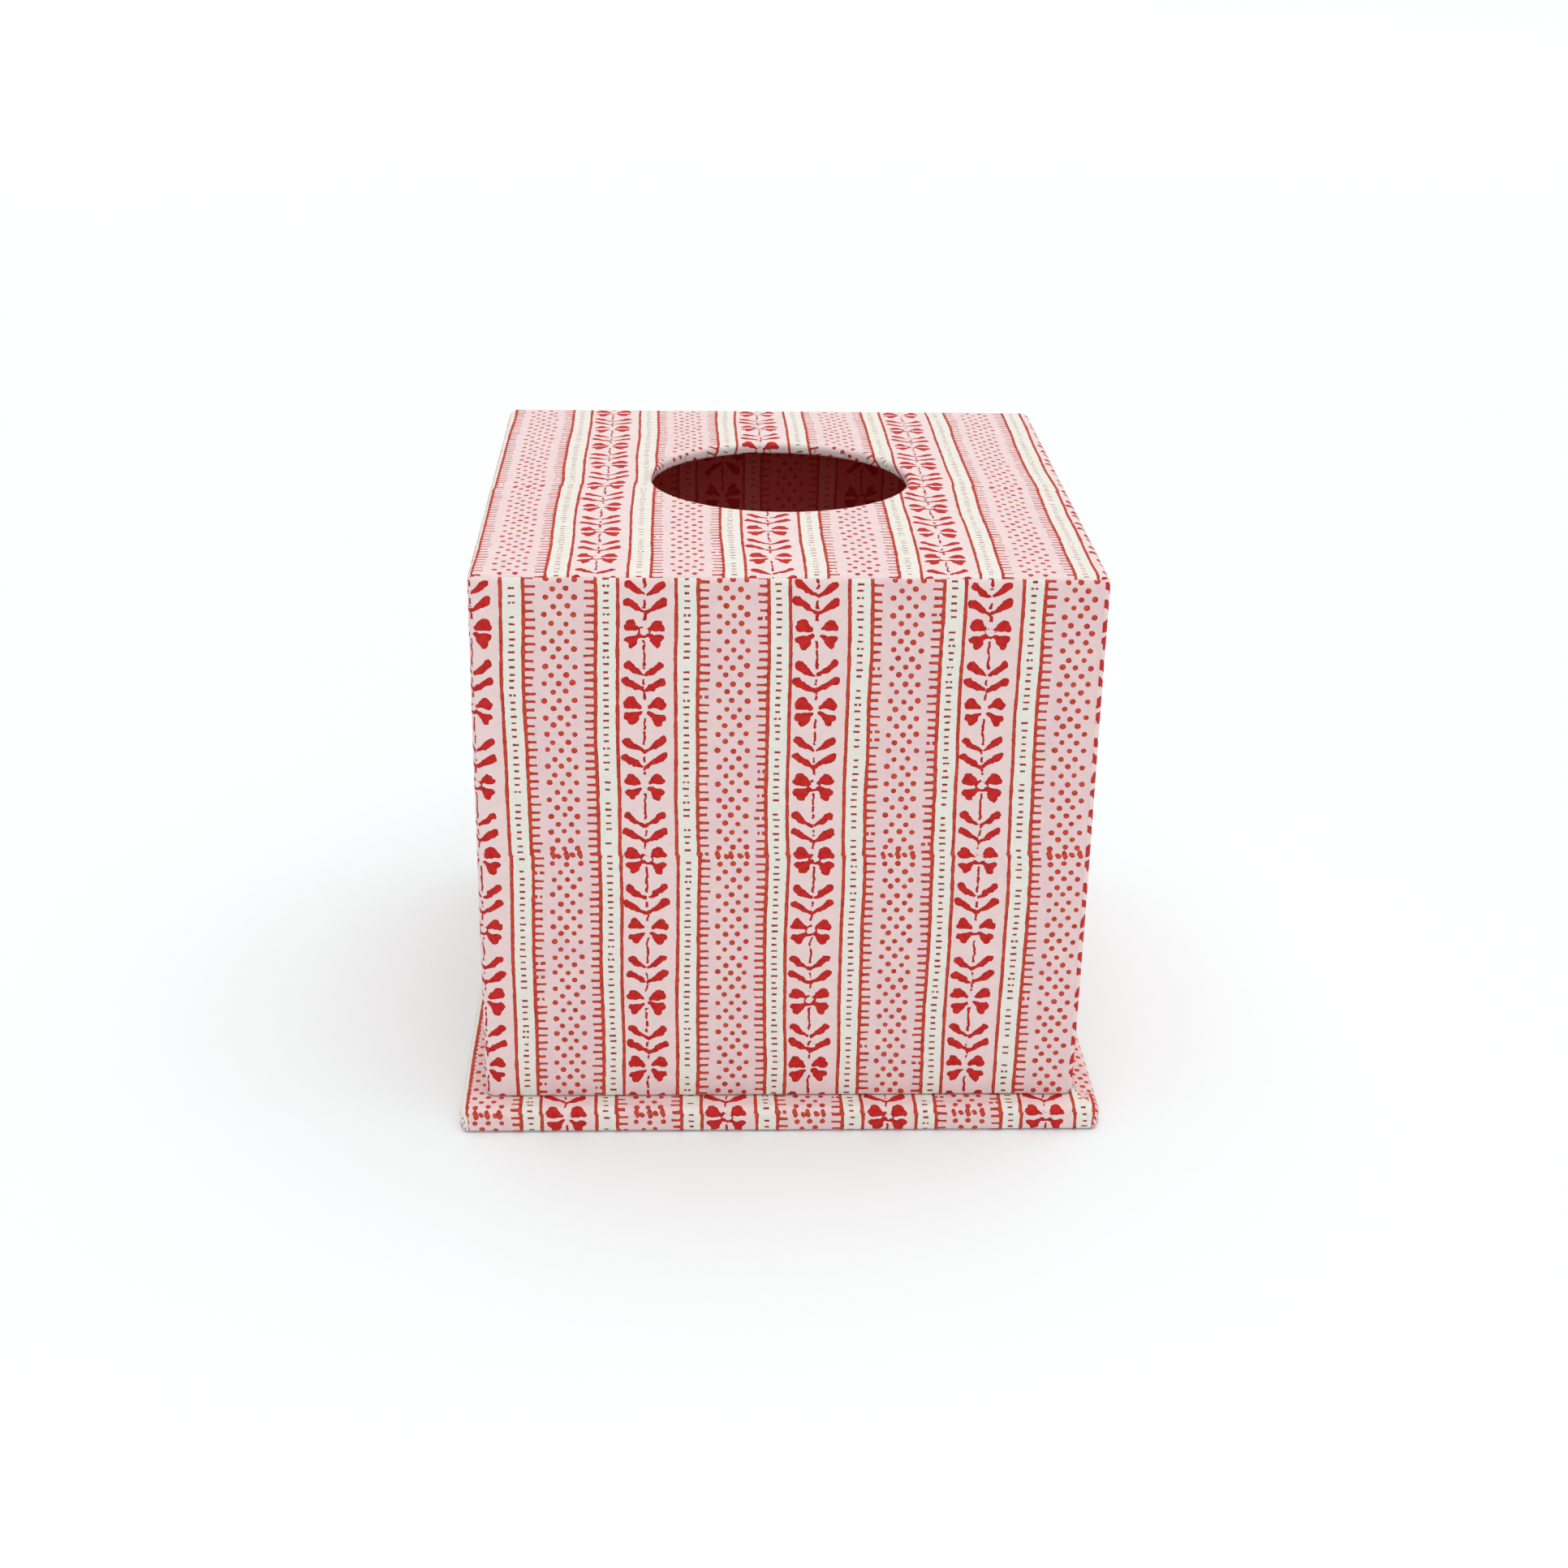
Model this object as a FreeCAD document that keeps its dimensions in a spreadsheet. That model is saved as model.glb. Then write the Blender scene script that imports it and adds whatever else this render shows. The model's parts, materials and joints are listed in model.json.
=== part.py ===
import FreeCAD, Part
import os
import Sketcher

# A tissue box cover of paper-covered board. It has two halves: a square plinth base with a low
# collar standing on it, and a cube cover with an oval opening in its top, which drops loosely
# over the collar. Lengths are in millimetres. The origin is the middle of the base's underside,
# +Z is up and the front wall faces -Y.

doc = FreeCAD.newDocument("tissue_box_cover")

# ---------------------------------------------------------------- driving dimensions

SIZES = {
    "cover_side": 138.6,        # outside width and depth of the covered cover
    "cover_height": 128.7,      # bottom edge of the walls to the edges of the top
    "crown": 2.0,               # rise of the top from its edges to its middle
    "base_side": 150.0,         # outside width and depth of the covered base
    "base_height": 6.4,         # underside to the ledge
    "seat_gap": 0.1,            # fuzz of the paper between the ledge and the walls' bottom edge
    "board": 2.4,               # greyboard of the cover and the collar
    "paper": 0.2,               # printed paper with its paste
    "edge_round": 2.1,          # rounding of the covered edges
    "foot_round": 1.2,          # rounding of the base's lower edges
    "slot_width": 61.6,         # covered opening, along X
    "slot_depth": 57.6,         # covered opening, along Y
    "slot_shift": 1.8,          # opening's centre, behind the middle of the top
    "lip_round": 1.5,           # rounding of the opening's covered upper lip
    "tab_length": 8.0,          # snipped tabs pasted flat under the top board
    "ceiling_setback": 1.5,     # ceiling lining, back from the opening's edge
    "strip_setdown": 0.7,       # wall strip's upper edge, below the top
    "turn_in": 12.0,            # wall strip, turned up inside the walls
    "collar_height": 12.0,      # collar above the ledge
    "collar_clearance": 2.4,    # lining to collar, so that the cover drops on easily
    "base_turn_in": 15.0,       # base paper, turned in under the base
    "underside_inset": 4.0,     # underside paper, in from the base's sides
}

sheet = doc.addObject("Spreadsheet::Sheet", "sizes")
for row, (alias, value) in enumerate(SIZES.items(), start=1):
    sheet.set(f"A{row}", alias)
    sheet.set(f"B{row}", str(value))
    sheet.setAlias(f"B{row}", alias)
doc.recompute()

# Lengths and heights that follow from the sheet, as formulas for setExpression.
LEDGE = "sizes.base_height"
COVER_FOOT = "(sizes.base_height + sizes.seat_gap)"
COVER_TOP = f"({COVER_FOOT} + sizes.cover_height)"
WALL_FOOT = f"({COVER_FOOT} + sizes.paper)"
BOARD_TOP = f"({COVER_TOP} - sizes.paper)"
CEILING = f"({BOARD_TOP} - sizes.board)"
TURN_IN_TOP = f"({COVER_FOOT} + sizes.turn_in)"
STRIP_TOP = f"({COVER_TOP} - sizes.strip_setdown)"
COLLAR_TOP = "(sizes.base_height + sizes.collar_height)"

WALL_OUTSIDE = "(sizes.cover_side - 2 * sizes.paper)"
WALL_INSIDE = f"({WALL_OUTSIDE} - 2 * sizes.board)"
LINED_INSIDE = f"({WALL_INSIDE} - 2 * sizes.paper)"
COLLAR_SIDE = f"({LINED_INSIDE} - 2 * sizes.collar_clearance)"
COLLAR_OUTSIDE = f"({COLLAR_SIDE} - 2 * sizes.paper)"
COLLAR_INSIDE = f"({COLLAR_OUTSIDE} - 2 * sizes.board)"
TRAY_SIDE = f"({COLLAR_INSIDE} - 2 * sizes.paper)"

PAPER_ROUND = "sizes.edge_round"
BOARD_ROUND = "(sizes.edge_round - sizes.paper)"


def bind(thing, formulas):
    """Bind properties of an object to formulas over the sheet."""
    for name, formula in formulas.items():
        thing.setExpression(name, formula)


def read(formula):
    """The number that a formula over the sheet comes to."""
    return float(sheet.evalExpression(formula))


# ---------------------------------------------------------------- sketches

def origin_plane(body, role):
    return next(plane for plane in body.Origin.OriginFeatures if plane.Role == role)


def level_sketch(body, name, height):
    """A sketch of a body that lies level at a height."""
    sketch = body.newObject("Sketcher::SketchObject", name)
    sketch.AttachmentSupport = (origin_plane(body, "XY_Plane"), [""])
    sketch.MapMode = "FlatFace"
    bind(sketch, {"AttachmentOffset.Base.z": height})
    return sketch


def constrain(sketch, name, formula, *constraint):
    """Add a named dimension to a sketch and bind it to a formula."""
    sketch.renameConstraint(sketch.addConstraint(Sketcher.Constraint(*constraint)), name)
    bind(sketch, {f"Constraints.{name}": formula})


def draw_rectangle(sketch, width, depth, centre_x, centre_y):
    start = [FreeCAD.Vector(x, y, 0) for x, y in ((-9, -9), (9, -9), (9, 9), (-9, 9))]
    sides = [sketch.addGeometry(Part.LineSegment(start[i], start[(i + 1) % 4])) for i in range(4)]
    for here, after in zip(sides, sides[1:] + sides[:1]):
        sketch.addConstraint(Sketcher.Constraint("Coincident", here, 2, after, 1))
    for side, direction in zip(sides, ("Horizontal", "Vertical", "Horizontal", "Vertical")):
        sketch.addConstraint(Sketcher.Constraint(direction, side))
    constrain(sketch, "width", width, "DistanceX", sides[0], 1, sides[0], 2, 18.0)
    constrain(sketch, "depth", depth, "DistanceY", sides[1], 1, sides[1], 2, 18.0)
    constrain(sketch, "low_x", f"{centre_x} - {width} / 2", "DistanceX", -1, 1, sides[0], 1, -9.0)
    constrain(sketch, "low_y", f"{centre_y} - {depth} / 2", "DistanceY", -1, 1, sides[0], 1, -9.0)


def draw_oval(sketch, margin):
    """The opening's oval, wider than the covered opening by a margin all round."""
    oval = sketch.addGeometry(Part.Ellipse(FreeCAD.Vector(0, 7, 0), 31, 28))
    sketch.exposeInternalGeometry(oval)
    long_axis, short_axis = oval + 1, oval + 2
    sketch.addConstraint(Sketcher.Constraint("Horizontal", long_axis))
    sketch.addConstraint(Sketcher.Constraint("PointOnObject", oval, 3, -2))
    constrain(sketch, "shift", "sizes.slot_shift", "DistanceY", -1, 1, oval, 3, 7.0)
    constrain(sketch, "across", f"sizes.slot_width + 2 * {margin}", "Distance", long_axis, 62.0)
    constrain(sketch, "along", f"sizes.slot_depth + 2 * {margin}", "Distance", short_axis, 56.0)


# ---------------------------------------------------------------- features

def slab(label, width, depth, foot, top, centre_x="0", centre_y="0"):
    """A flat piece: a rectangle sketched at its foot and padded up to its top."""
    body = doc.addObject("PartDesign::Body", label)
    body.Label = label
    sketch = level_sketch(body, f"{label}_outline", foot)
    draw_rectangle(sketch, width, depth, centre_x, centre_y)
    pad = body.newObject("PartDesign::Pad", f"{label}_pad")
    pad.Profile = sketch
    bind(pad, {"Length": f"{top} - {foot}"})
    doc.recompute()
    return body


def open_oval(body, margin, foot):
    """Cut the oval opening right up through a slab from its foot."""
    volume_before = body.Shape.Volume
    sketch = level_sketch(body, f"{body.Label}_oval", foot)
    draw_oval(sketch, margin)
    pocket = body.newObject("PartDesign::Pocket", f"{body.Label}_opening")
    pocket.Profile = sketch
    pocket.Type = "ThroughAll"
    pocket.Reversed = True
    doc.recompute()
    if body.Shape.Volume >= volume_before:
        raise RuntimeError(f"{body.Label}: the oval cuts nothing")


def round_edges(body, radius, chosen):
    """Round the edges of a body that pass a test of the edge and of the body's box."""
    solid = body.Tip
    box = solid.Shape.BoundBox
    edges = [f"Edge{i}" for i, edge in enumerate(solid.Shape.Edges, start=1) if chosen(edge, box)]
    fillet = body.newObject("PartDesign::Fillet", f"{body.Label}_round")
    fillet.Base = (solid, edges)
    bind(fillet, {"Radius": radius})
    doc.recompute()


def upright(edge, box):
    return edge.BoundBox.ZLength > box.ZLength / 2


def upright_in_front(edge, box):
    return upright(edge, box) and edge.BoundBox.YMax < box.YMin + 0.01


def upright_behind(edge, box):
    return upright(edge, box) and edge.BoundBox.YMin > box.YMax - 0.01


def level_at(edge, height):
    return edge.BoundBox.ZLength < 0.01 and abs(edge.BoundBox.ZMax - height) < 0.01


def is_oval(edge):
    return edge.isClosed() and not edge.Degenerated


def upright_or_top_rim(edge, box):
    return upright(edge, box) or (level_at(edge, box.ZMax) and not is_oval(edge))


def foot_rim(edge, box):
    return level_at(edge, box.ZMin)


def oval_lip(edge, _):
    """The crown lifts the opening's upper edge, and no other closed one, above the cover's rim."""
    return is_oval(edge) and edge.BoundBox.ZMin > read(COVER_TOP)


def block(name, side, foot, top):
    """A plain square block about the Z axis, which trims a sheet or makes one."""
    box = doc.addObject("Part::Box", name)
    bind(box, {
        "Length": side,
        "Width": side,
        "Height": f"{top} - {foot}",
        "Placement.Base.x": f"{side} / -2",
        "Placement.Base.y": f"{side} / -2",
        "Placement.Base.z": foot,
    })
    return box


def combine(kind, label, base, tool):
    """A boolean of two objects: kind is Cut or Fuse."""
    result = doc.addObject(f"Part::{kind}", label)
    result.Label = label
    result.Base = base
    result.Tool = tool
    result.Refine = True
    doc.recompute()
    return result


def pillow(name, foot):
    """The crown as a solid: square and flat below, straight-sided, highest in the middle.

    Its upper face is a Bezier patch of three by three poles. The middle pole stands four times as
    high as the crown, which lifts the middle of the face to the crown's height.
    """
    reach = read(LINED_INSIDE) / 2
    rise = 4 * read("sizes.crown")
    upper = Part.BezierSurface()
    upper.increase(2, 2)
    for i, x in enumerate((-reach, 0, reach), start=1):
        for j, y in enumerate((-reach, 0, reach), start=1):
            upper.setPole(i, j, FreeCAD.Vector(x, y, rise if x == y == 0 else 0))
    above = Part.makeBox(2 * reach, 2 * reach, rise, FreeCAD.Vector(-reach, -reach, 0))
    solid = doc.addObject("Part::Feature", name)
    solid.Shape = upper.toShape().extrude(FreeCAD.Vector(0, 0, -rise)).common(above)
    bind(solid, {"Placement.Base.z": foot})
    return solid


def crowned(label, flat, foot, top):
    """A body like a flat slab, with the middle of both its faces raised into the crown."""
    raised = combine("Fuse", f"{label}_raised", flat, pillow(f"{label}_upper", top))
    hollowed = combine("Cut", f"{label}_hollowed", raised, pillow(f"{label}_lower", foot))
    body = doc.addObject("PartDesign::Body", label)
    body.Label = label
    body.BaseFeature = hollowed
    doc.recompute()
    return body


def tube(label, outside, inside, foot, top):
    """A square tube about the Z axis."""
    return combine(
        "Cut", label,
        block(f"{label}_outside", outside, foot, top),
        block(f"{label}_inside", inside, foot, top),
    )


def wall_boards(prefix, outside, foot, top):
    """Four boards on edge round a square: front and back full width, the sides between them."""
    off_centre = f"({outside} - sizes.board) / 2"
    between = f"({outside} - 2 * sizes.board)"
    return [
        slab(f"{prefix}_front_board", outside, "sizes.board", foot, top, "0", f"-{off_centre}"),
        slab(f"{prefix}_back_board", outside, "sizes.board", foot, top, "0", off_centre),
        slab(f"{prefix}_left_board", "sizes.board", between, foot, top, f"-{off_centre}", "0"),
        slab(f"{prefix}_right_board", "sizes.board", between, foot, top, off_centre, "0"),
    ]


# ---------------------------------------------------------------- base

BASE_BOARD_SIDE = "(sizes.base_side - 2 * sizes.paper)"
BASE_BOARD_FOOT = "(2 * sizes.paper)"

base_board = slab(
    "base_board", BASE_BOARD_SIDE, BASE_BOARD_SIDE, BASE_BOARD_FOOT, f"({LEDGE} - sizes.paper)")
round_edges(base_board, BOARD_ROUND, upright_or_top_rim)
round_edges(base_board, "sizes.foot_round - sizes.paper", foot_rim)

# The printed sheet is the skin between the covered base's outside and its board. It is turned in
# underneath, and the window left there is closed by a plain sheet pasted over the turn-ins.
base_outside = slab("base_outside", "sizes.base_side", "sizes.base_side", "sizes.paper", LEDGE)
round_edges(base_outside, PAPER_ROUND, upright_or_top_rim)
round_edges(base_outside, "sizes.foot_round", foot_rim)
base_skin = combine("Cut", "base_skin", base_outside, base_board)
base_window = block(
    "base_window", "(sizes.base_side - 2 * sizes.base_turn_in)", "0", BASE_BOARD_FOOT)
base_wrap_sheet = combine("Cut", "base_wrap_sheet", base_skin, base_window)

UNDERSIDE = "(sizes.base_side - 2 * sizes.underside_inset)"
base_underside_sheet = slab("base_underside_sheet", UNDERSIDE, UNDERSIDE, "0", "sizes.paper")

# ---------------------------------------------------------------- collar and tray

collar_boards = wall_boards("collar", COLLAR_OUTSIDE, LEDGE, f"({COLLAR_TOP} - sizes.paper)")

# One folded strip covers the collar's outside, its top and its inside.
collar_folded = tube("collar_folded", COLLAR_SIDE, TRAY_SIDE, LEDGE, COLLAR_TOP)
collar_core = tube(
    "collar_core", COLLAR_OUTSIDE, COLLAR_INSIDE, LEDGE, f"({COLLAR_TOP} - sizes.paper)")
collar_wrap_sheet = combine("Cut", "collar_wrap_sheet", collar_folded, collar_core)

tray_floor_sheet = slab("tray_floor_sheet", TRAY_SIDE, TRAY_SIDE, LEDGE, f"({LEDGE} + sizes.paper)")

# ---------------------------------------------------------------- cover boards

cover_boards = wall_boards("cover", WALL_OUTSIDE, WALL_FOOT, CEILING)
round_edges(cover_boards[0], BOARD_ROUND, upright_in_front)
round_edges(cover_boards[1], BOARD_ROUND, upright_behind)

flat_top_board = slab("flat_top_board", WALL_OUTSIDE, WALL_OUTSIDE, CEILING, BOARD_TOP)
round_edges(flat_top_board, BOARD_ROUND, upright_or_top_rim)
cover_top_board = crowned("cover_top_board", flat_top_board, CEILING, BOARD_TOP)
open_oval(cover_top_board, "sizes.paper", CEILING)
round_edges(cover_top_board, "sizes.lip_round - sizes.paper", oval_lip)

# ---------------------------------------------------------------- cover papers

# One strip runs round the four walls, from just under the top, over the bottom edge and up inside.
cover_outside = slab("cover_outside", "sizes.cover_side", "sizes.cover_side", COVER_FOOT, COVER_TOP)
round_edges(cover_outside, PAPER_ROUND, upright_or_top_rim)
cover_core = slab("cover_core", WALL_OUTSIDE, WALL_OUTSIDE, WALL_FOOT, BOARD_TOP)
round_edges(cover_core, BOARD_ROUND, upright_or_top_rim)
cover_skin = combine("Cut", "cover_skin", cover_outside, cover_core)
skin_without_top = combine(
    "Cut", "skin_without_top", cover_skin,
    block("above_strip", "sizes.base_side", STRIP_TOP, f"({COVER_TOP} + sizes.board)"))
strip_outside = combine(
    "Cut", "strip_outside", skin_without_top,
    block("inside_strip", LINED_INSIDE, LEDGE, f"({WALL_FOOT} + sizes.board)"))
strip_turn_in = tube("strip_turn_in", WALL_INSIDE, LINED_INSIDE, WALL_FOOT, TURN_IN_TOP)
cover_side_wrap_sheet = combine("Fuse", "cover_side_wrap_sheet", strip_outside, strip_turn_in)

# The top sheet lies on the top board, rolls down over the lip and is pasted under it in tabs.
TAB_FOOT = f"({CEILING} - sizes.paper)"
flat_top = slab("flat_top", "sizes.cover_side", "sizes.cover_side", TAB_FOOT, COVER_TOP)
round_edges(flat_top, PAPER_ROUND, upright_or_top_rim)
top_outside = crowned("top_outside", flat_top, TAB_FOOT, COVER_TOP)
open_oval(top_outside, "0", TAB_FOOT)
round_edges(top_outside, "sizes.lip_round", oval_lip)
top_skin = combine("Cut", "top_skin", top_outside, cover_top_board)
below_strip_top = slab("below_strip_top", "sizes.base_side", "sizes.base_side", WALL_FOOT, STRIP_TOP)
beyond_tabs = crowned("beyond_tabs", below_strip_top, WALL_FOOT, STRIP_TOP)
open_oval(beyond_tabs, "(sizes.paper + sizes.tab_length)", WALL_FOOT)
cover_top_sheet = combine("Cut", "cover_top_sheet", top_skin, beyond_tabs)

# ---------------------------------------------------------------- linings

LINING_OFF_CENTRE = f"({WALL_INSIDE} - sizes.paper) / 2"
linings = [
    slab("lining_front_sheet", LINED_INSIDE, "sizes.paper", TURN_IN_TOP, CEILING,
         "0", f"-{LINING_OFF_CENTRE}"),
    slab("lining_back_sheet", LINED_INSIDE, "sizes.paper", TURN_IN_TOP, CEILING,
         "0", LINING_OFF_CENTRE),
    slab("lining_left_sheet", "sizes.paper", WALL_INSIDE, TURN_IN_TOP, CEILING,
         f"-{LINING_OFF_CENTRE}", "0"),
    slab("lining_right_sheet", "sizes.paper", WALL_INSIDE, TURN_IN_TOP, CEILING,
         LINING_OFF_CENTRE, "0"),
]

LINING_CEILING_FOOT = f"({TAB_FOOT} - sizes.paper)"
flat_ceiling = slab("flat_ceiling", LINED_INSIDE, LINED_INSIDE, LINING_CEILING_FOOT, TAB_FOOT)
lining_ceiling_sheet = crowned("lining_ceiling_sheet", flat_ceiling, LINING_CEILING_FOOT, TAB_FOOT)
open_oval(lining_ceiling_sheet, "sizes.ceiling_setback", LINING_CEILING_FOOT)

# ---------------------------------------------------------------- check and write

pieces = [
    base_board, base_wrap_sheet, base_underside_sheet,
    *collar_boards, collar_wrap_sheet, tray_floor_sheet,
    *cover_boards, cover_top_board, cover_side_wrap_sheet, cover_top_sheet,
    *linings, lining_ceiling_sheet,
]

doc.recompute()
for thing in doc.Objects:
    if {"Invalid", "Error"} & set(thing.State):
        raise RuntimeError(f"{thing.Label}: {thing.State}")
for piece in pieces:
    if piece.Shape.isNull() or not piece.Shape.isValid() or len(piece.Shape.Solids) != 1:
        raise RuntimeError(f"{piece.Label}: not one valid solid")

os.makedirs("parts", exist_ok=True)
for piece in pieces:
    piece.Shape.exportStep(f"parts/{piece.Label}.step")
    print(f"{piece.Label}: {piece.Shape.Volume / 1000:.2f} cm3")
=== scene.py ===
import json
import math

import bpy
from mathutils import Matrix, Vector, noise


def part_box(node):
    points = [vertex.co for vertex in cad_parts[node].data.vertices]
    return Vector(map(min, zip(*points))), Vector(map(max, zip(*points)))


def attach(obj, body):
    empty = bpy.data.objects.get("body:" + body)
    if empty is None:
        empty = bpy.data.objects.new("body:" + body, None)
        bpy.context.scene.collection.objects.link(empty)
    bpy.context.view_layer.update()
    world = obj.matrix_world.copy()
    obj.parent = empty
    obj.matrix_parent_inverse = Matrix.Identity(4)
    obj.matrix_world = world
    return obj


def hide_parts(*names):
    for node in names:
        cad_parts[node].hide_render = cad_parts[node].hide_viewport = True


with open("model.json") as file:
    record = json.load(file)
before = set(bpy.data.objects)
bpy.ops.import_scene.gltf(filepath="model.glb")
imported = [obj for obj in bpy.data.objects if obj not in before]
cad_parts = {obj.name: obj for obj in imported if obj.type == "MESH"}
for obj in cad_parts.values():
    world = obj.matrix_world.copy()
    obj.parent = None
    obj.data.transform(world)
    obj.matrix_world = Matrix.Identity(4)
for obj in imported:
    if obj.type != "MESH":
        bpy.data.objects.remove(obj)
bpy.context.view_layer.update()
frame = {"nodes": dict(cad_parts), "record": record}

# A tissue box cover of board, covered with block-printed paper, standing on its plinth base.
# Lengths are metres in the CAD frame, and the print's own coordinates are millimetres.

MM = 0.001
PAPER = 0.18 * MM           # thickness of a visible sheet, a little less than its CAD solid
CORNER = 2.4 * MM           # radius of the covered upright edges
EDGE = 2.1 * MM             # radius of the covered level edges

cover_low, cover_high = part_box("cover_side_wrap_sheet")
board_low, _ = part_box("cover_top_board")
wall_low, wall_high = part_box("cover_front_board")
lining_low, lining_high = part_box("lining_ceiling_sheet")
turned_low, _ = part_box("lining_front_sheet")
base_low, base_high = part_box("base_wrap_sheet")
underside_low, underside_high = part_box("base_underside_sheet")
collar_low, collar_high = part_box("collar_wrap_sheet")
_, tray_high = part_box("tray_floor_sheet")

COVER_SIDE = cover_high[0] - cover_low[0]
COVER_FOOT = cover_low[2]
STRIP_TOP = cover_high[2]
CEILING = wall_high[2]                              # underside of the top board at its edges
SKIN = board_low[0] - cover_low[0]                  # paper and paste in the CAD
BOARD = wall_high[1] - wall_low[1]
WALL = BOARD + 2 * SKIN                             # a covered and lined wall
TOP_EDGE = CEILING + BOARD + SKIN                   # height of the top's straight edges
LINED_HALF = lining_high[0]
TURN_IN_TOP = turned_low[2]

SLOT_HALF_WIDTH = 30.8 * MM
SLOT_HALF_DEPTH = 28.8 * MM
SLOT_MIDDLE = next(m for m in frame["record"]["mounts"] if m["name"] == "tissue_opening")["pos_m"][1]
LIP = 1.5 * MM              # rounding of the opening's upper lip
CROWN = 2.0 * MM            # rise of the top from its edges to its middle
CEILING_SETBACK = 1.5 * MM  # ceiling lining, back from the opening's edge
TABS = 22                   # snipped tabs turned down through the opening

# ---------------------------------------------------------------- print layout, in millimetres

REPEAT = 37.4               # from one vine to the next, across the stripes
STRIPE_START = 7.0          # a repeat starts this far before the middle of its vine
VINE_PERIOD = 18.05         # from one flower to the next, along a vine
VINE_BAND = (0.6, 6.3)      # middle and half width between its plain lines
DOT_BAND = (19.35, 7.65)    # middle and half width between its toothed lines
DASHES_OUT = 10.0           # columns of dashes, out from the middle of the dot band
TOOTH_PITCH = 1.89
DASH_PITCH = 1.64
DOT_PITCH = (3.05, 3.95)    # across the stripes and along them
LINE_HALF = 0.35            # half the thickness of the plain lines
BLOCK_LENGTH = 108.3        # a printing block's length: its joints show as a row of doubled dots
BLOCK_JOINT = -53.2


def srgb(red, green, blue):
    """A display colour, 0 to 255, as the linear colour that shaders take."""
    parts = [c / 255 for c in (red, green, blue)]
    return [c / 12.92 if c <= 0.04045 else ((c + 0.055) / 1.055) ** 2.4 for c in parts] + [1.0]


# ---------------------------------------------------------------- formulas written as shader nodes

class Value:
    """A number worked out by shader nodes, so that a formula over it can be written as one."""

    def __init__(self, tree, socket):
        self.tree = tree
        self.socket = socket

    def math(self, operation, *others):
        node = self.tree.nodes.new("ShaderNodeMath")
        node.operation = operation
        for slot, value in zip(node.inputs, (self, *others)):
            plug(self.tree, value, slot)
        return Value(self.tree, node.outputs[0])

    def __add__(self, other):
        return self.math("ADD", other)

    def __sub__(self, other):
        return self.math("SUBTRACT", other)

    def __rsub__(self, other):
        return (self * -1) + other

    def __mul__(self, other):
        return self.math("MULTIPLY", other)

    def __truediv__(self, other):
        return self.math("DIVIDE", other)

    def __abs__(self):
        return self.math("ABSOLUTE")

    def __gt__(self, other):
        return self.math("GREATER_THAN", other)

    def __lt__(self, other):
        return self.math("LESS_THAN", other)

    def wrap(self, low, high):
        return self.math("WRAP", high, low)

    def clamp(self, low, high):
        return self.math("MAXIMUM", low).math("MINIMUM", high)

    def ramp(self, low, high):
        """0 up to low and 1 from high, or the other way round where low is the larger."""
        node = self.tree.nodes.new("ShaderNodeMapRange")
        node.interpolation_type = "SMOOTHSTEP"
        plug(self.tree, self, node.inputs["Value"])
        node.inputs["From Min"].default_value = low
        node.inputs["From Max"].default_value = high
        return Value(self.tree, node.outputs["Result"])


def plug(tree, value, slot):
    """Give a socket a value: a link from a worked-out one, or a plain number or colour."""
    if isinstance(value, Value):
        tree.links.new(value.socket, slot)
    else:
        slot.default_value = value


def least(first, *others):
    """The smallest of some values: where distances meet, the union of their shapes."""
    for other in others:
        first = first.math("MINIMUM", other)
    return first


def most(first, *others):
    """The largest of some values: where distances meet, what their shapes share."""
    for other in others:
        first = first.math("MAXIMUM", other)
    return first


def point(tree, x, y, z=0.0):
    """A vector from three values or numbers."""
    node = tree.nodes.new("ShaderNodeCombineXYZ")
    for value, slot in zip((x, y, z), node.inputs):
        plug(tree, value, slot)
    return Value(tree, node.outputs[0])


def vector_math(tree, operation, first, second):
    """A vector operation, whose result is a number for DOT_PRODUCT and DISTANCE."""
    node = tree.nodes.new("ShaderNodeVectorMath")
    node.operation = operation
    plug(tree, first, node.inputs[0])
    plug(tree, second, node.inputs["Scale"] if operation == "SCALE" else node.inputs[1])
    return Value(tree, node.outputs["Value" if operation in ("DOT_PRODUCT", "DISTANCE") else "Vector"])


def unevenness(tree, place, size, swing, detail=1.0):
    """Smooth noise about 0, with features of a size, swinging by about plus or minus swing / 2."""
    node = tree.nodes.new("ShaderNodeTexNoise")
    node.noise_dimensions = "2D"
    plug(tree, place, node.inputs["Vector"])
    node.inputs["Scale"].default_value = 1 / size
    node.inputs["Detail"].default_value = detail
    return (Value(tree, node.outputs[0]) - 0.5) * (2 * swing)


def dice(tree, *cell):
    """Three numbers from 0 to 1 that are fixed for each cell."""
    scatter = tree.nodes.new("ShaderNodeTexWhiteNoise")
    tree.links.new(point(tree, *cell).socket, scatter.inputs["Vector"])
    split = tree.nodes.new("ShaderNodeSeparateColor")
    tree.links.new(scatter.outputs["Color"], split.inputs[0])
    return [Value(tree, output) for output in split.outputs]


def club(place, start, end, start_radius, end_radius):
    """Distance from a stroke that widens from its start to its end, negative inside the ink."""
    tree = place.tree
    along = Vector(end) - Vector(start)
    from_start = vector_math(tree, "SUBTRACT", place, (*start, 0))
    share = vector_math(tree, "DOT_PRODUCT", from_start, (*(along / along.length_squared), 0)).clamp(0, 1)
    spine = vector_math(tree, "SCALE", point(tree, *along), share)
    reach = vector_math(tree, "DISTANCE", from_start, spine)
    return reach - (share * (end_radius - start_radius) + start_radius)


# ---------------------------------------------------------------- the block print

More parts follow.
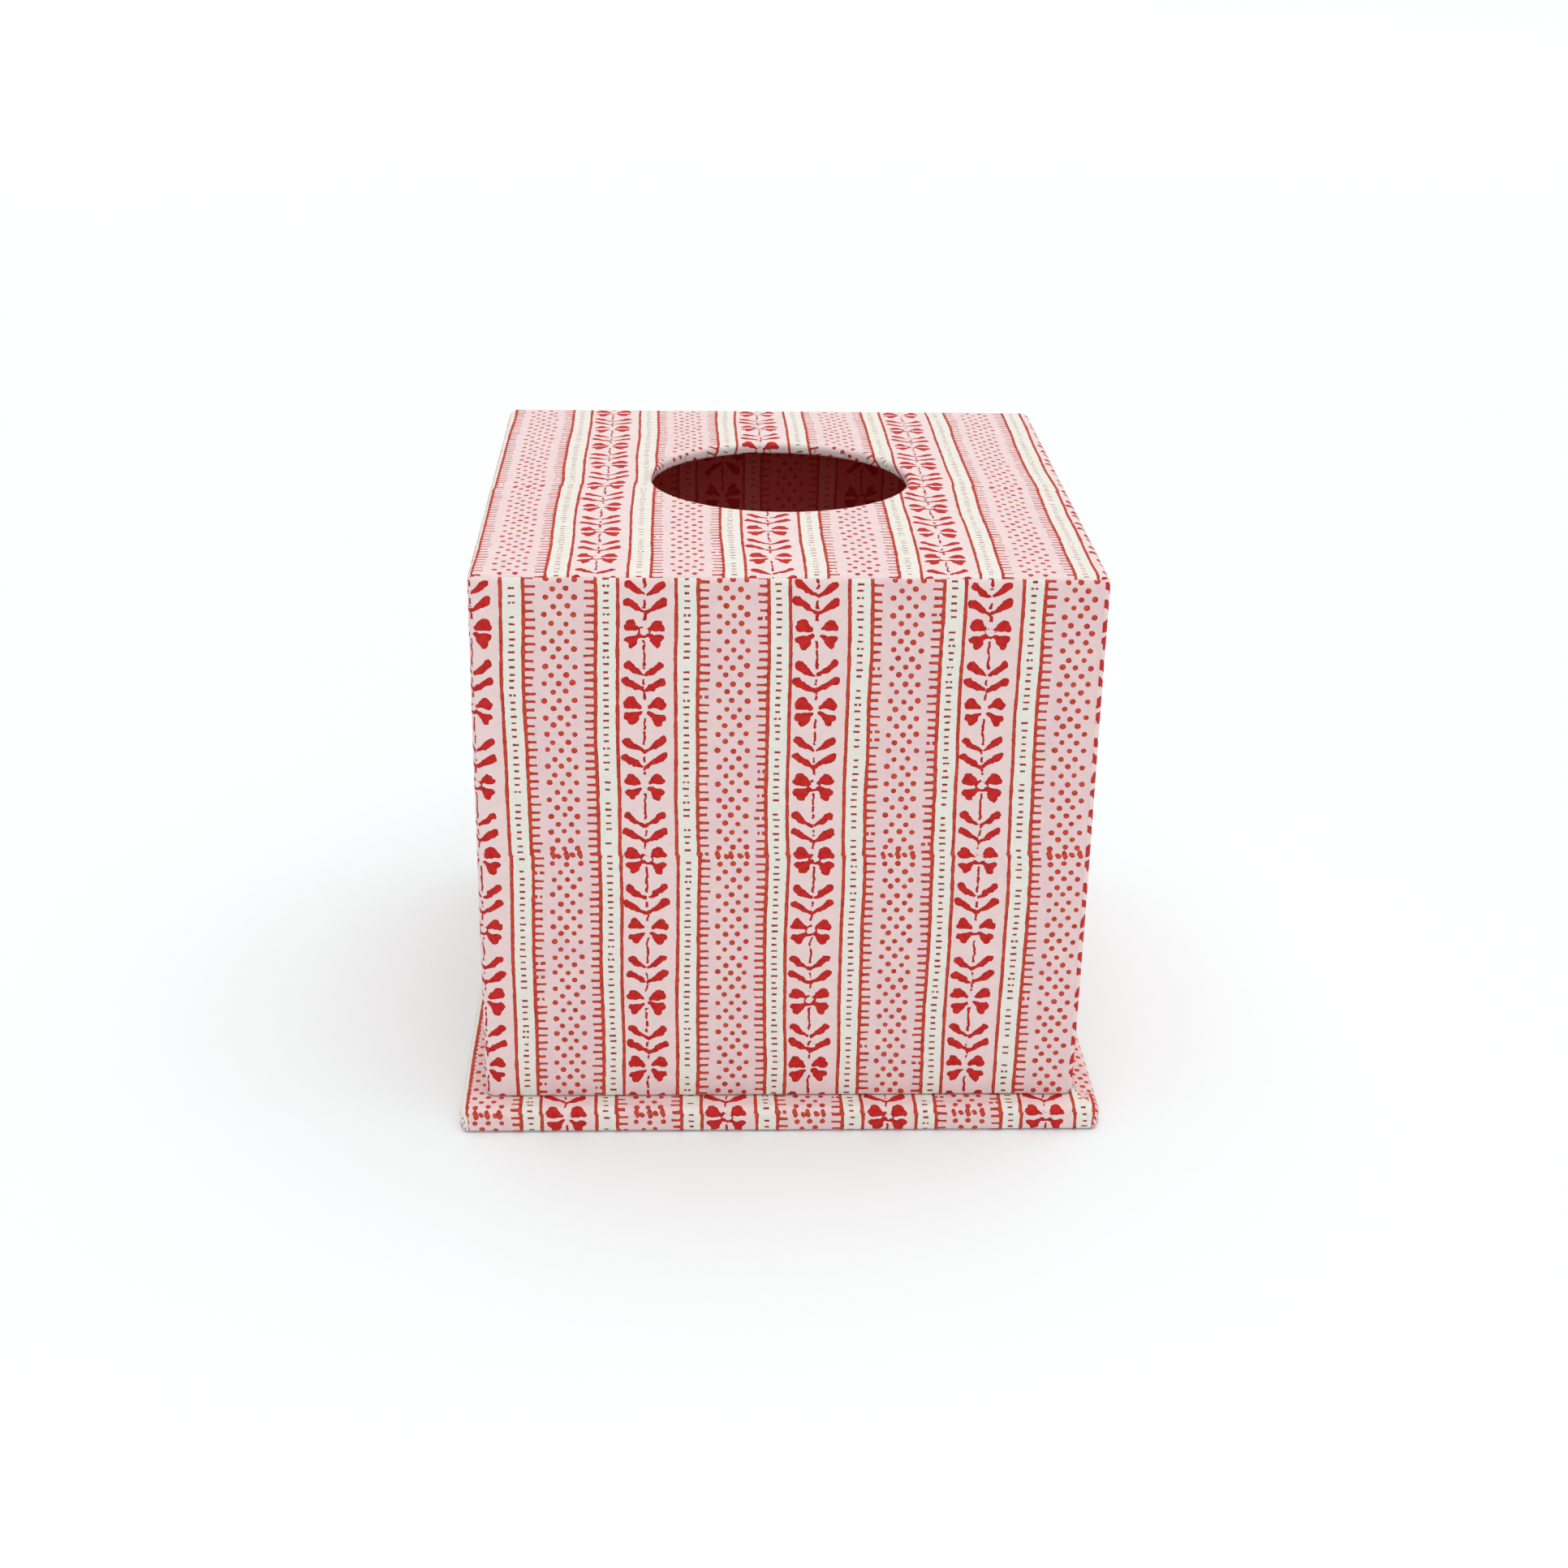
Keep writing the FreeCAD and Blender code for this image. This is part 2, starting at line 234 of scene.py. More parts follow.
def draw_lines(tree, s, v, stripe, joint, wander):
    """The plain lines beside a vine and the toothed lines beside the dots."""
    swell = unevenness(tree, point(tree, stripe * 7 + s * 0.4, v), 2.6, 0.14, 2.0)
    vine_lines = abs(abs(s + wander - VINE_BAND[0]) - VINE_BAND[1]) - LINE_HALF
    dot_lines = abs(abs(s - wander - DOT_BAND[0]) - DOT_BAND[1]) - LINE_HALF
    return least(vine_lines, dot_lines) - joint * 0.14 - swell


def draw_teeth(tree, s, v, stripe, joint):
    """Short bars from the toothed lines in over the dots, thicker at their roots."""
    side = (s - DOT_BAND[0]).math("SIGN")
    inward = DOT_BAND[1] - abs(s - DOT_BAND[0])
    tilt = unevenness(tree, point(tree, stripe * 3 + s * 0.25, v), 1.6, 0.22)
    row = (v + tilt) / TOOTH_PITCH + side * 0.21 + stripe * 0.37
    length, shift, thick = dice(tree, row.math("FLOOR"), side, stripe)
    across = abs((row.math("FRACT") - 0.5) * TOOTH_PITCH + (shift - 0.5) * 0.26)
    root = (1 - inward).clamp(0, 1)
    bar = across - (thick * 0.09 + root * root * 0.4 + joint * 0.1 + 0.23)
    tooth = most(bar, inward - (length * 0.7 + 1.9), inward * -1)
    broken = (thick > 0.93) * (0.3 - abs(inward - 1.2)) - (thick < 0.93)
    return most(tooth, broken)


def draw_dots(tree, s, v, stripe):
    """Rows of three dots with rows of two between them."""
    a = s - DOT_BAND[0]
    rows = []
    for half in (0.0, 0.5):
        column = ((a / DOT_PITCH[0] + 0.5 - half).math("FLOOR") + half).clamp(half - 1, 1 - half)
        line = (v / DOT_PITCH[1] + 0.5 - half).math("FLOOR") + half
        right, up, large = dice(tree, column, line, stripe)
        x = a - column * DOT_PITCH[0] + (right - 0.5) * 0.5
        y = v - line * DOT_PITCH[1] + (up - 0.5) * 0.5
        rows.append(vector_math(tree, "DISTANCE", point(tree, x, y), (0, 0, 0)) - (large * 0.13 + 0.52))
    return least(*rows)


def draw_joint_dots(tree, s, q, stripe):
    """Where two strikes of the block meet, their end rows of dots fall partly on each other."""
    a = s - DOT_BAND[0]
    column = (a / DOT_PITCH[0]).math("ROUND").clamp(-1, 1)
    right, up, large = dice(tree, column, stripe, 3)
    x = a - column * DOT_PITCH[0] + (right - 0.5) * 0.9
    y = (q + (up - 0.5) * 0.5) * 0.55
    return vector_math(tree, "DISTANCE", point(tree, x, y), (0, 0, 0)) - (large * 0.14 + 0.5)


def draw_dashes(tree, s, v, stripe):
    """The columns of short dashes on the white between the bands."""
    out = s - DOT_BAND[0] + 0.15
    side = out.math("SIGN")
    x = abs(out) - DASHES_OUT
    row = v / DASH_PITCH + side * 0.3 + stripe * 0.61
    length, shift, thick = dice(tree, row.math("FLOOR"), side, stripe + 40)
    across = abs((row.math("FRACT") - 0.5) * DASH_PITCH + (shift - 0.5) * 0.36)
    reach = length * 0.3 + 0.42
    dash = most(abs(x + (shift - 0.5) * 0.2) - reach, across - (thick * 0.08 + 0.16))
    split = most(dash, 0.2 - abs(x))
    return dash + (split - dash) * (length > 0.93) + (thick < 0.04)


def draw_petals(upper, lower, plump, joined):
    """Two heart-shaped petals of a flower, right of its middle, spread upwards and downwards."""
    swell = plump * 0.3 - 0.12
    notch = 0.12 - plump * 0.3
    tip = (1 - joined) * 0.9
    return least(
        club(upper, (1.2, 0.75), (3.0, 1.95), 0.42, 1.08) - swell,
        club(upper, (1.5, 0.95), (3.8, 1.15), 0.52, 0.8) + notch * 0.5,
        club(lower, (0.85, 0.7), (2.75, 1.95), 0.34, 1.08) - swell * 0.6,
        club(lower, (2.4, 1.6), (3.7, 1.6), 0.85, 0.72) + notch,
        club(lower, (2.2, 1.9), (2.75, 2.9), 0.85, 0.78) + notch,
        club(lower, (0.0, 1.0), (1.2, 0.95), 0.26, 0.38) + tip,
    )


def draw_leaf(place, root, bend, tip, plump):
    """A leaf like a comma: a thin tail from the stem that bends up into a round end."""
    tail = club(place, root, bend, 0.26, 0.68)
    end = club(place, bend, tip, 0.66, 0.88)
    return least(tail, end - (plump * 0.18 - 0.08))


def draw_stem(tree, x, w, v, stripe):
    """The vine's wavering stem, broken between its leaves and its flower."""
    bend = unevenness(tree, point(tree, stripe * 9, v), 3.0, 0.35)
    gaps = (unevenness(tree, point(tree, stripe * 5 + 3, v), 1.1, 0.9) - 0.14).math("MAXIMUM", 0) - 0.04
    stretches = [(-5.1, 3.2), (-11.6, 0.75), (-13.7, 0.3), (3.4, 0.85)]
    nearest = least(*[abs(w - middle) - half for middle, half in stretches])
    return most(abs(x + bend) - 0.2, nearest) + gaps


def draw_vine(tree, s, v, stripe):
    """A flower of four petals, a broken stem and two pairs of leaves that open upwards."""
    cell = ((v + 14) / VINE_PERIOD).math("FLOOR")
    w = v - cell * VINE_PERIOD
    right, up, whole = dice(tree, cell, stripe, 5)
    x = s + (right - 0.5) * 0.3 + unevenness(tree, point(tree, s, v), 2.2, 0.44)
    w = w + unevenness(tree, point(tree, s + 50, v), 2.2, 0.5)
    side = x.math("SIGN")
    out, lift, plump = dice(tree, cell, stripe, side * 3 + 11)
    drop, turn, thick = dice(tree, cell, stripe, side * 3 + 23)
    across = abs(x) + (out - 0.5) * 0.35
    upper = point(tree, across, w + (up - 0.5) * 0.3 + (lift - 0.5) * 0.3)
    lower = point(tree, across, w * -1 + (drop - 0.5) * 0.35)
    leaf = point(tree, across + (turn - 0.5) * 0.3, w + (lift - 0.5) * 0.5 + abs(x) * (drop - 0.5) * 0.16)
    broken_high = (turn > 0.4) * 0.75
    broken_low = (drop > 0.8) * 0.75
    leaves = least(
        draw_leaf(leaf, (0.5, -9.6), (2.1, -8.65), (3.7, -7.3), plump),
        draw_leaf(leaf, (0.55, -13.3), (2.0, -12.5), (4.05, -11.15), thick),
        club(leaf, (0.0, -9.75), (0.8, -9.4), 0.44, 0.34) + broken_high,
        club(leaf, (0.0, -13.5), (0.9, -13.1), 0.52, 0.38) + broken_low,
    )
    petals = draw_petals(upper, lower, plump, whole > 0.45)
    ring = abs(vector_math(tree, "DISTANCE", point(tree, x, w), (0, 0, 0)) - 1.15) - 0.18
    ring = most(ring, 0.55 - whole, w * side * 0.6 - 0.5)
    return least(petals, leaves, draw_stem(tree, x, w, v, stripe), ring)


def block_print():
    """Node group: where each ink lies on the paper, from print coordinates in millimetres."""
    tree = bpy.data.node_groups.new("block_print", "ShaderNodeTree")
    tree.interface.new_socket("Place", in_out="INPUT", socket_type="NodeSocketVector")
    tree.interface.new_socket("Spread", in_out="INPUT", socket_type="NodeSocketFloat")
    outputs = ("Ink", "Rim", "Motif", "Dash", "Pink", "Dots")
    for name in outputs:
        tree.interface.new_socket(name, in_out="OUTPUT", socket_type="NodeSocketFloat")
    source = tree.nodes.new("NodeGroupInput")
    sink = tree.nodes.new("NodeGroupOutput")
    place = Value(tree, source.outputs["Place"])
    split = tree.nodes.new("ShaderNodeSeparateXYZ")
    tree.links.new(place.socket, split.inputs[0])
    v = Value(tree, split.outputs["Y"])
    strike = ((v - BLOCK_JOINT) / BLOCK_LENGTH).math("FLOOR")
    q = (v - BLOCK_JOINT).wrap(-BLOCK_LENGTH / 2, BLOCK_LENGTH / 2)
    slip, _, _ = dice(tree, strike, 2, 9)
    u = Value(tree, split.outputs["X"]) + unevenness(tree, place, 45.0, 0.7) + (slip - 0.5) * 0.6

    s = u.wrap(-STRIPE_START, REPEAT - STRIPE_START)
    stripe = ((u + STRIPE_START) / REPEAT).math("FLOOR")
    joint = (1 - abs(q)).clamp(0, 1)
    wander = unevenness(tree, place, 11.0, 0.16, 2.0)
    rough = unevenness(tree, place, 0.55, 0.1, 2.0)

    lines = least(
        draw_lines(tree, s, v, stripe, joint, wander),
        draw_teeth(tree, s, v, stripe, joint),
        draw_dots(tree, s, v, stripe),
        draw_joint_dots(tree, s, q, stripe),
        draw_dashes(tree, s, v, stripe),
    ) + rough
    vine = draw_vine(tree, s, v, stripe) + rough * 1.5
    distance = least(lines, vine) - Value(tree, source.outputs["Spread"])

    in_vine_band = abs(s - VINE_BAND[0]) - VINE_BAND[1]
    in_dot_band = abs(s - DOT_BAND[0]) - DOT_BAND[1]
    results = {
        "Ink": distance.ramp(0.055, -0.055),
        "Rim": distance.ramp(-0.3, -0.08),
        "Motif": in_vine_band.ramp(-0.4, -0.6),
        "Dash": most(in_vine_band * -1, in_dot_band * -1).ramp(-0.7, -0.9),
        "Pink": (least(in_vine_band, in_dot_band) + wander).ramp(0.12, -0.12),
        "Dots": in_dot_band.ramp(0.2, -0.2),
    }
    for name, value in results.items():
        tree.links.new(value.socket, sink.inputs[name])
    return tree


# ---------------------------------------------------------------- materials

def new_material(name, roughness):
    """A material with its node tree and its shader."""
    material = bpy.data.materials.new(name)
    material.use_nodes = True
    shader = material.node_tree.nodes["Principled BSDF"]
    shader.inputs["Roughness"].default_value = roughness
    shader.inputs["Specular IOR Level"].default_value = 0.2
    return material, material.node_tree, shader


def mix_colours(tree, factor, first, second, blend="MIX"):
    """Two colours mixed by a factor from 0 to 1."""
    node = tree.nodes.new("ShaderNodeMix")
    node.data_type = "RGBA"
    node.blend_type = blend
    plug(tree, factor, node.inputs[0])
    plug(tree, first, node.inputs[6])
    plug(tree, second, node.inputs[7])
    return Value(tree, node.outputs[2])


def object_place(tree):
    """Object coordinates in millimetres."""
    coordinates = tree.nodes.new("ShaderNodeTexCoord")
    return vector_math(tree, "SCALE", Value(tree, coordinates.outputs["Object"]), 1000.0)


def solid_noise(tree, place, size, detail=2.0, stretch=(1, 1, 1)):
    """Noise through the material's volume, from 0 to 1."""
    node = tree.nodes.new("ShaderNodeTexNoise")
    stretched = vector_math(tree, "MULTIPLY", place, stretch)
    plug(tree, stretched, node.inputs["Vector"])
    node.inputs["Scale"].default_value = 1 / size
    node.inputs["Detail"].default_value = detail
    return Value(tree, node.outputs[0])


def emboss(tree, shader, height, depth):
    """Relief on a shader from a height pattern; the depth is in metres."""
    bump = tree.nodes.new("ShaderNodeBump")
    bump.inputs["Distance"].default_value = depth
    bump.inputs["Strength"].default_value = 1.0
    plug(tree, height, bump.inputs["Height"])
    tree.links.new(bump.outputs["Normal"], shader.inputs["Normal"])


def paper_grain(tree, colour, mottle):
    """Cloudy formation of the sheet and single darker fibres over a colour, and its relief."""
    place = object_place(tree)
    clouds = solid_noise(tree, place, 2.2, 3.0).ramp(0.3, 0.7)
    fibres = solid_noise(tree, place, 0.35, 2.0, (1, 1, 0.3)).ramp(0.25, 0.75)
    shade = (clouds * 0.55 + fibres * 0.45) * mottle + (1 - mottle)
    tinted = mix_colours(tree, 1.0, colour, point(tree, shade, shade, shade), "MULTIPLY")
    return tinted, clouds * 0.4 + fibres


def printed_paper(name, print_group, palette, mottle, spread=0.0):
    """Block-printed paper; the spread is how far the ink ran past the block's lines, in millimetres."""
    material, tree, shader = new_material(name, 0.62)
    uv = tree.nodes.new("ShaderNodeUVMap")
    uv.uv_map = "print"
    pattern = tree.nodes.new("ShaderNodeGroup")
    pattern.node_tree = print_group
    pattern.inputs["Spread"].default_value = spread
    tree.links.new(uv.outputs["UV"], pattern.inputs["Place"])
    where = {output.name: Value(tree, output) for output in pattern.outputs}
    place = Value(tree, uv.outputs["UV"])

    tide = unevenness(tree, place, 8.0, 1.4, 2.0) + 0.5
    tide = mix_colours(tree, tide.clamp(0, 1), palette["dot_ground"], palette["dot_tide"])
    pinks = mix_colours(tree, where["Dots"], palette["vine_ground"], tide)
    ground = mix_colours(tree, where["Pink"], palette["white"], pinks)
    blotches = unevenness(tree, place, 1.3, 0.9, 3.0) + 0.25
    dark = (where["Rim"] * 0.7 + blotches).clamp(0, 1)
    line_ink = mix_colours(tree, dark, palette["line_light"], palette["line_dark"])
    motif_ink = mix_colours(tree, dark, palette["motif_light"], palette["motif_dark"])
    ink = mix_colours(tree, where["Motif"], line_ink, motif_ink)
    ink = mix_colours(tree, where["Dash"], ink, palette["dash"])
    colour = mix_colours(tree, where["Ink"], ground, ink)
    grained, relief = paper_grain(tree, colour, mottle)
    tree.links.new(grained.socket, shader.inputs["Base Color"])
    emboss(tree, shader, relief, 0.012 * MM)
    return material


def plain_paper(name, colour, mottle, roughness=0.7):
    """Unprinted paper with its grain."""
    material, tree, shader = new_material(name, roughness)
    tint = tree.nodes.new("ShaderNodeRGB")
    tint.outputs[0].default_value = colour
    grained, relief = paper_grain(tree, Value(tree, tint.outputs[0]), mottle)
    tree.links.new(grained.socket, shader.inputs["Base Color"])
    emboss(tree, shader, relief, 0.015 * MM)
    return material


def greyboard(name):
    """Grey-brown board of pulped waste paper, with pale and dark flecks."""
    material, tree, shader = new_material(name, 0.85)
    place = object_place(tree)
    clouds = solid_noise(tree, place, 6.0, 4.0).ramp(0.3, 0.7)
    flecks = solid_noise(tree, place, 0.5, 3.0).ramp(0.62, 0.72)
    colour = mix_colours(tree, clouds, srgb(150, 142, 130), srgb(168, 160, 147))
    colour = mix_colours(tree, flecks * 0.6, colour, srgb(112, 106, 98))
    tree.links.new(colour.socket, shader.inputs["Base Color"])
    emboss(tree, shader, flecks * -1 + clouds, 0.02 * MM)
    return material


PRINT_COLOURS = {
    "white": srgb(236, 232, 223),
    "vine_ground": srgb(238, 213, 211),
    "dot_ground": srgb(237, 209, 206),
    "dot_tide": srgb(235, 203, 206),
    "line_light": srgb(213, 74, 48),
    "line_dark": srgb(170, 32, 24),
    "motif_light": srgb(204, 36, 31),
    "motif_dark": srgb(166, 8, 10),
    "dash": srgb(158, 40, 38),
}
TOP_COLOURS = {                     # the top sheet's pinks are paler than the walls'
    **PRINT_COLOURS,
    "vine_ground": srgb(238, 218, 216),
    "dot_ground": srgb(238, 215, 212),
    "dot_tide": srgb(236, 211, 213),
}
# The pattern is the lining's own print. Its red colouring, the whites included, is painted red light and
# shade from inside the cover.
LINING_COLOURS_PAINTED_RED_SHADE = {
    "white": srgb(248, 142, 126),
    "vine_ground": srgb(246, 120, 112),
    "dot_ground": srgb(246, 120, 112),
    "dot_tide": srgb(243, 114, 108),
    "line_light": srgb(220, 80, 70),
    "line_dark": srgb(212, 60, 54),
    "motif_light": srgb(214, 58, 52),
    "motif_dark": srgb(204, 42, 38),
    "dash": srgb(216, 76, 68),
}

the_print = block_print()
outer_print = printed_paper("printed_paper", the_print, PRINT_COLOURS, 0.08, 0.04)
top_print_paper = printed_paper("printed_paper_top", the_print, TOP_COLOURS, 0.08, -0.04)
# The lining's red colours are painted red light and shade from inside the cover.
lining_print_painted_red_shade = printed_paper("lining_paper", the_print, LINING_COLOURS_PAINTED_RED_SHADE, 0.08)
underside_paper = plain_paper("plain_paper", srgb(228, 223, 210), 0.06)
paper_core = plain_paper("paper_core", srgb(236, 230, 220), 0.05)
# The lining's cut edges are tinted pink: painted red light from inside the cover.
lining_core_painted_red_shade = plain_paper("lining_core_painted_red_shade", srgb(226, 170, 160), 0.05)
board_material = greyboard("greyboard")

# ---------------------------------------------------------------- ways of making a sheet

def outline(distance, side, radius, inset):
    """A point on a rounded square and its outward normal.

    The distance runs clockwise, seen from above, from the right end of the front's straight part.
    """
    straight = side - 2 * radius
    quarter = straight + radius * math.pi / 2
    wall = math.floor(distance / quarter)
    run = distance - wall * quarter
    corner = max(radius - inset, 0.15 * MM)
    reach = side / 2 - inset - corner
    if run <= straight:
        normal = Vector((0, -1))
        place = Vector((reach * (1 - 2 * run / straight), -reach - corner))
    else:
        turn = (run - straight) / radius
        normal = Vector((-math.sin(turn), -math.cos(turn)))
        place = Vector((-reach, -reach)) + normal * corner
    spin = Matrix.Rotation(-wall * math.pi / 2, 2)
    return spin @ place, spin @ normal


def steps(start, end, pitch):
    """Values from start to end, evenly spaced and no further apart than the pitch."""
    count = max(1, math.ceil(abs(end - start) / pitch))
    return [start + (end - start) * i / count for i in range(count + 1)]


def outline_columns(side, radius, start, end, pitch):
    """Distances along a rounded square between two others: close together round its corners."""
    straight = side - 2 * radius
    quarter = straight + radius * math.pi / 2
    columns = []
    for wall in range(-1, 6):
        columns += steps(wall * quarter, wall * quarter + straight, pitch)[:-1]
        columns += steps(wall * quarter + straight, (wall + 1) * quarter, radius * math.pi / 16)[:-1]
    inside = [d for d in columns if start + 0.1 * MM < d < end - 0.1 * MM]
    return [start, *inside, end]


def build_sheet(name, grid, prints, closed=False, gaps=(), core=None, cover=None, cap=False):
    """A sheet of paper with thickness, from rows of points and their print coordinates.

    Rows run outwards or downwards and columns run so that the printed face is the outer one. gaps
    holds the (row, column) cells that are cut away.
    """
    rows, columns = len(grid), len(grid[0])
    cells = columns if closed else columns - 1
    vertices = [place for row in grid for place in row]
    faces, corners = [], []
    for r in range(rows - 1):
        for c in range(cells):
            if (r, c) in gaps:
                continue
            after = (c + 1) % columns
            near = r * columns
            far = near + columns
            faces.append([near + c, near + after, far + after, far + c])
            corners.append([prints[r][c], prints[r][c + 1], prints[r + 1][c + 1], prints[r + 1][c]])
    if cap:
        faces.append(list(range(columns))[::-1])
        corners.append(prints[0][:columns][::-1])
    outer = bpy.data.meshes.new(name)
    outer.from_pydata([v[:] for v in vertices], [], faces)
    outer.update()
    back = [v - n.vector * PAPER for v, n in zip(vertices, outer.vertex_normals)]

    edge_count = {}
    for face in faces:
        for a, b in zip(face, face[1:] + face[:1]):
            edge_count[(a, b)] = edge_count.get((a, b), 0) + 1
    print_at = {}
    for face, uvs in zip(faces, corners):
        for index, uv in zip(face, uvs):
            print_at.setdefault(index, uv)
    total = len(vertices)
    full_faces = faces + [[i + total for i in face[::-1]] for face in faces]
    full_corners = corners + [uvs[::-1] for uvs in corners]
    slots = [0] * len(faces) + [1] * len(faces)
    for a, b in edge_count:
        if (b, a) not in edge_count:
            full_faces.append([b, a, a + total, b + total])
            full_corners.append([print_at[b], print_at[a], print_at[a], print_at[b]])
            slots.append(1)
    mesh = bpy.data.meshes.new(name)
    mesh.from_pydata([v[:] for v in vertices + back], [], full_faces)
    layer = mesh.uv_layers.new(name="print")
    flat = [uv for uvs in full_corners for uv in uvs]
    for item, uv in zip(layer.data, flat):
        item.uv = uv
    smooth = [i < 2 * len(faces) for i in range(len(full_faces))]
    mesh.polygons.foreach_set("use_smooth", smooth)
    mesh.materials.append(cover)
    mesh.materials.append(core)
    mesh.polygons.foreach_set("material_index", slots)
    mesh.update()
    bpy.data.meshes.remove(outer)
    piece = bpy.data.objects.new(name, mesh)
    bpy.context.scene.collection.objects.link(piece)
    return piece


def settle(piece, body, material_slot, *nodes):
    """Say which body a piece rides on, which CAD nodes it stands for."""
    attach(piece, body)
    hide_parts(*nodes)


def ripple(x, y, z, size, height):
    """A slight unevenness of pasted board."""
    return noise.noise(Vector((x, y, z)) / size) * height


# ---------------------------------------------------------------- strip round the cover's walls

QUARTER = COVER_SIDE - 2 * CORNER + CORNER * math.pi / 2     # one wall and its corner
OVERLAP_END = -0.92 * MM            # the strip's outer end, just round the right-front corner
OVERLAP_LENGTH = 7.0 * MM
STRIP_PHASE = 60.9                  # print coordinate at the right end of the front
HIDDEN_STRETCH = 1.005              # scale of the print round the other walls
VINE_HEIGHT = 122.35                # height of a flower on the front, in millimetres
STRIP_FOLD = 0.75 * MM              # radius of its two folds at the foot of the walls
LAP_EASE = 2 * MM                   # length over which the overlap settles on the strip
LAP_STAND = 0.2 * MM                # how far the overlap stands off the strip under it


def strip_rows():
    """Inset, height and run of the strip, from its upper edge down, under and up inside."""
    rows = []
    top_turn = math.asin((STRIP_TOP - TOP_EDGE + EDGE) / EDGE)
    shoulder = TOP_EDGE - EDGE
    for turn in steps(top_turn, 0, 0.18):
        rows.append((EDGE * (1 - math.cos(turn)), shoulder + EDGE * math.sin(turn), shoulder + EDGE * turn))
    knee = COVER_FOOT + STRIP_FOLD
    for height in steps(shoulder, knee, 5 * MM)[1:]:
        rows.append((0, height, height))
    for turn in steps(0, math.pi / 2, math.pi / 6)[1:]:
        rows.append((
            STRIP_FOLD * (1 - math.cos(turn)),
            knee - STRIP_FOLD * math.sin(turn),
            knee - STRIP_FOLD * turn,
        ))
    run = rows[-1][2]
    across = WALL - 2 * STRIP_FOLD
    rows.append((WALL - STRIP_FOLD, COVER_FOOT, run - across))
    for turn in steps(0, math.pi / 2, math.pi / 6)[1:]:
        rows.append((
            WALL - STRIP_FOLD + STRIP_FOLD * math.sin(turn),
            knee - STRIP_FOLD * math.cos(turn),
            run - across - STRIP_FOLD * turn,
        ))
    run = rows[-1][2]
    for height in steps(knee, TURN_IN_TOP, 6 * MM)[1:]:
        rows.append((WALL, height, run - (height - knee)))
    return rows


def strip_print(distance):
    """Print coordinate across the stripes, at a distance round the walls."""
    beyond = max(0, distance - QUARTER)
    return STRIP_PHASE - (min(distance, QUARTER) + beyond * HIDDEN_STRETCH) / MM


def wrap_panel(name, start, end):
    """One panel of the strip round the walls, between two distances round them."""
    columns = outline_columns(COVER_SIDE, CORNER, start, end, 4.5 * MM)
    if start < 0:
        columns = sorted(columns + steps(OVERLAP_LENGTH, OVERLAP_LENGTH + LAP_EASE, 0.4 * MM))
    grid, prints = [], []
    for inset, height, run in strip_rows():
        row, row_prints = [], []
        for distance in columns:
            place, normal = outline(distance, COVER_SIDE, CORNER, inset)
            lifted = 1 - max(0, min(1, (distance - OVERLAP_LENGTH) / LAP_EASE))
            inside = 1 if inset < 0.5 * WALL else -1
            stand = LAP_STAND * lifted * lifted * (3 - 2 * lifted) * inside
            wave = ripple(place.x, place.y, height, 38 * MM, 0.1 * MM) * (inset == 0)
            cut = ripple(place.x, place.y, 1.0, 9 * MM, 0.12 * MM) * (height > STRIP_TOP - 0.5 * MM)
            place = place + normal * (stand + wave)
            lowest = COVER_FOOT + SKIN * (distance > 4 * QUARTER - 2 * CORNER)
            row.append(Vector((place.x, place.y, max(height + cut, lowest))))
            row_prints.append((strip_print(distance), run / MM - VINE_HEIGHT))
        grid.append(row)
        prints.append(row_prints)
    piece = build_sheet(name, grid, prints, cover=outer_print, core=paper_core)
    settle(piece, "cover", "printed_paper", "cover_side_wrap_sheet")
    return piece


SPLIT = 1.5 * MM                    # panels meet just past a corner, where the paper is flat
wrap_panel("wrap_paper_front", OVERLAP_END, QUARTER + SPLIT)
wrap_panel("wrap_paper_left", QUARTER + SPLIT, 2 * QUARTER + SPLIT)
wrap_panel("wrap_paper_back", 2 * QUARTER + SPLIT, 3 * QUARTER + SPLIT)
wrap_panel("wrap_paper_right", 3 * QUARTER + SPLIT, 4 * QUARTER + OVERLAP_LENGTH - 1 * MM)

# ---------------------------------------------------------------- top sheet

TOP_VINE = -3.8                     # middle of a vine on the top sheet, in millimetres
TOP_FLOWER = -58.2                  # middle of a flower on it
TOP_STRETCH = (REPEAT / 37.9, VINE_PERIOD / 17.46)      # over its own repeat and flower period
TAB_BENDS = (7.8, 4.0, 0.9, 0.45)   # rows of a tab under the board, back from the opening, in mm
TAB_RISE = (0.15, 0.5, 1.0)         # rows up the opening's wall, as shares of it
TAB_ROWS = len(TAB_BENDS) + len(TAB_RISE) + 1      # rows that the cuts between tabs go through
TAB_CUT = 0.45 * MM                 # width of a cut


def crown_height(x, y):
    """Height of the crown over the flat top at a place."""
    u = min(1, abs(x) / LINED_HALF)
    v = min(1, abs(y) / LINED_HALF)
    return CROWN * (1 - u * u) * (1 - v * v)


def slot_rim(direction):
    """The point of the opening's wall in a direction from its middle, and the normal outwards."""
    x, y = direction
    reach = 1 / math.hypot(x / SLOT_HALF_WIDTH, y / SLOT_HALF_DEPTH)
    place = Vector((x * reach, y * reach))
    normal = Vector((place.x / SLOT_HALF_WIDTH ** 2, place.y / SLOT_HALF_DEPTH ** 2)).normalized()
    return place + Vector((0, SLOT_MIDDLE)), normal


def slot_direction(place):
    """Direction of a place from the middle of the opening."""
    return (place - Vector((0, SLOT_MIDDLE))).normalized()


def top_print(place):
    """Print coordinates of a place on the flat top sheet."""
    return (
        (place.x / MM - TOP_VINE) * TOP_STRETCH[0],
        (place.y / MM - TOP_FLOWER) * TOP_STRETCH[1],
    )


